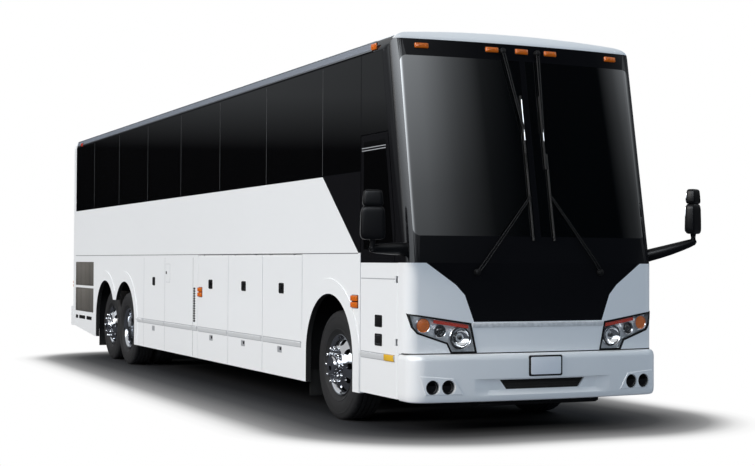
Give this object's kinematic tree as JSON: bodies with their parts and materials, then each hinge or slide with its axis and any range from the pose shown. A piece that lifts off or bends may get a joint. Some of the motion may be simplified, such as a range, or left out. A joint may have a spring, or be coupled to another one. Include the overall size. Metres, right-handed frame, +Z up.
{
  "type": "coach bus",
  "caption": "White three-axle highway coach with dark glazing, hinged entrance, baggage and engine doors, steered front wheels and rolling wheels on modelled axles.",
  "frame": {"origin": "on the ground, on the centre line, half way between the bumper faces", "axes": "+X forward, +Y to the coach's left, +Z up"},
  "size_m": [13.87, 3.555, 3.69],
  "materials": {
    "white_paint": "gloss white coach enamel",
    "black_gloss": "gloss black panels",
    "tinted_glass": "dark tinted safety glass",
    "chassis_paint": "satin black chassis paint",
    "engine_iron": "cast block",
    "floor_covering": "ribbed floor covering",
    "polished_aluminium": "polished",
    "tyre_rubber": "black road tyre",
    "flap_rubber": "matt black",
    "black_plastic": "moulded, satin",
    "grille_grey": "satin grey",
    "lamp_clear": "clear lens over bright reflectors",
    "lamp_amber": "amber lens",
    "lamp_red": "red lens",
    "seat_fabric": "woven upholstery",
    "blank_plate": "blank plate"
  },
  "bodies": {
    "coach": {"underframe": "chassis_paint", "passenger_floor": "floor_covering", "driver_platform": "floor_covering", "roof": "white_paint", "side_wall_right": "white_paint", "side_wall_left": "white_paint", "shoulders": "black_gloss", "side_glass_right": "tinted_glass", "side_glass_left": "tinted_glass", "lower_side_right": "white_paint", "lower_side_left": "white_paint", "side_grilles": "grille_grey", "front_fascia": "white_paint", "front_panel": "black_gloss", "windshield_frame": "black_gloss", "windshield": "tinted_glass", "front_bumper": "white_paint", "headlamps": "lamp_clear", "fog_lamps": "black_plastic", "marker_lamps": "lamp_amber", "front_plate": "blank_plate", "rear_cap": "white_paint", "rear_window": "tinted_glass", "rear_bumper": "white_paint", "tail_lamps": "lamp_red", "engine": "engine_iron", "driver_side_panel": "white_paint", "wheel_housings": "chassis_paint", "mudflaps": "flap_rubber", "mirrors": "black_plastic", "wipers": "black_plastic", "seats": "seat_fabric", "dashboard": "black_plastic", "front_axle": "chassis_paint", "drive_axle": "chassis_paint", "tag_axle": "chassis_paint"},
    "entrance_door_body": {"entrance_door": "white_paint", "entrance_glass": "tinted_glass"},
    "baggage_right_1": {"baggage_door_right_1": "white_paint"},
    "baggage_right_2": {"baggage_door_right_2": "white_paint"},
    "baggage_right_3": {"baggage_door_right_3": "white_paint"},
    "baggage_left_1": {"baggage_door_left_1": "white_paint"},
    "baggage_left_2": {"baggage_door_left_2": "white_paint"},
    "baggage_left_3": {"baggage_door_left_3": "white_paint"},
    "engine_door_body": {"engine_door": "white_paint"},
    "steering_right": {"knuckle_right": "chassis_paint"},
    "steering_left": {"knuckle_left": "chassis_paint"},
    "wheel_front_right": {"rim_front_right": "polished_aluminium", "tyre_front_right": "tyre_rubber"},
    "wheel_front_left": {"rim_front_left": "polished_aluminium", "tyre_front_left": "tyre_rubber"},
    "wheel_drive_right": {"rims_drive_right": "polished_aluminium", "tyres_drive_right": "tyre_rubber"},
    "wheel_drive_left": {"rims_drive_left": "polished_aluminium", "tyres_drive_left": "tyre_rubber"},
    "wheel_tag_right": {"rim_tag_right": "polished_aluminium", "tyre_tag_right": "tyre_rubber"},
    "wheel_tag_left": {"rim_tag_left": "polished_aluminium", "tyre_tag_left": "tyre_rubber"}
  },
  "joints": [
    {"name": "entrance_door_hinge", "type": "hinge", "parent": "coach", "child": "entrance_door_body", "pos_m": [6.542, -1.27, 0.9], "axis": [0, 0, 1], "range_deg": [0, 85]},
    {"name": "baggage_right_1_hinge", "type": "hinge", "parent": "coach", "child": "baggage_right_1", "pos_m": [3.646, -1.27, 1.607], "axis": [-1, 0, 0], "range_deg": [0, 80]},
    {"name": "baggage_right_2_hinge", "type": "hinge", "parent": "coach", "child": "baggage_right_2", "pos_m": [2.442, -1.27, 1.607], "axis": [-1, 0, 0], "range_deg": [0, 80]},
    {"name": "baggage_right_3_hinge", "type": "hinge", "parent": "coach", "child": "baggage_right_3", "pos_m": [1.238, -1.27, 1.607], "axis": [-1, 0, 0], "range_deg": [0, 80]},
    {"name": "baggage_left_1_hinge", "type": "hinge", "parent": "coach", "child": "baggage_left_1", "pos_m": [3.646, 1.27, 1.607], "axis": [1, 0, 0], "range_deg": [0, 80]},
    {"name": "baggage_left_2_hinge", "type": "hinge", "parent": "coach", "child": "baggage_left_2", "pos_m": [2.442, 1.27, 1.607], "axis": [1, 0, 0], "range_deg": [0, 80]},
    {"name": "baggage_left_3_hinge", "type": "hinge", "parent": "coach", "child": "baggage_left_3", "pos_m": [1.238, 1.27, 1.607], "axis": [1, 0, 0], "range_deg": [0, 80]},
    {"name": "engine_door_hinge", "type": "hinge", "parent": "coach", "child": "engine_door_body", "pos_m": [-6.75, 0, 1.667], "axis": [0, 1, 0], "range_deg": [0, 80]},
    {"name": "steer_right", "type": "hinge", "parent": "coach", "child": "steering_right", "pos_m": [4.985, -0.9, 0.538], "axis": [0, 0, 1], "range_deg": [-40, 40]},
    {"name": "steer_left", "type": "hinge", "parent": "coach", "child": "steering_left", "pos_m": [4.985, 0.9, 0.538], "axis": [0, 0, 1], "range_deg": [-40, 40]},
    {"name": "roll_front_right", "type": "hinge", "parent": "steering_right", "child": "wheel_front_right", "pos_m": [4.985, -1.049, 0.538], "axis": [0, 1, 0], "continuous": true},
    {"name": "roll_front_left", "type": "hinge", "parent": "steering_left", "child": "wheel_front_left", "pos_m": [4.985, 1.049, 0.538], "axis": [0, 1, 0], "continuous": true},
    {"name": "roll_drive_right", "type": "hinge", "parent": "coach", "child": "wheel_drive_right", "pos_m": [-3.065, -1.099, 0.538], "axis": [0, 1, 0], "continuous": true},
    {"name": "roll_drive_left", "type": "hinge", "parent": "coach", "child": "wheel_drive_left", "pos_m": [-3.065, 1.099, 0.538], "axis": [0, 1, 0], "continuous": true},
    {"name": "roll_tag_right", "type": "hinge", "parent": "coach", "child": "wheel_tag_right", "pos_m": [-4.28, -1.039, 0.538], "axis": [0, 1, 0], "continuous": true},
    {"name": "roll_tag_left", "type": "hinge", "parent": "coach", "child": "wheel_tag_left", "pos_m": [-4.28, 1.039, 0.538], "axis": [0, 1, 0], "continuous": true}
  ],
  "couplings": [
    {"joint": "steer_left", "follows": "steer_right", "ratio": 1}
  ]
}
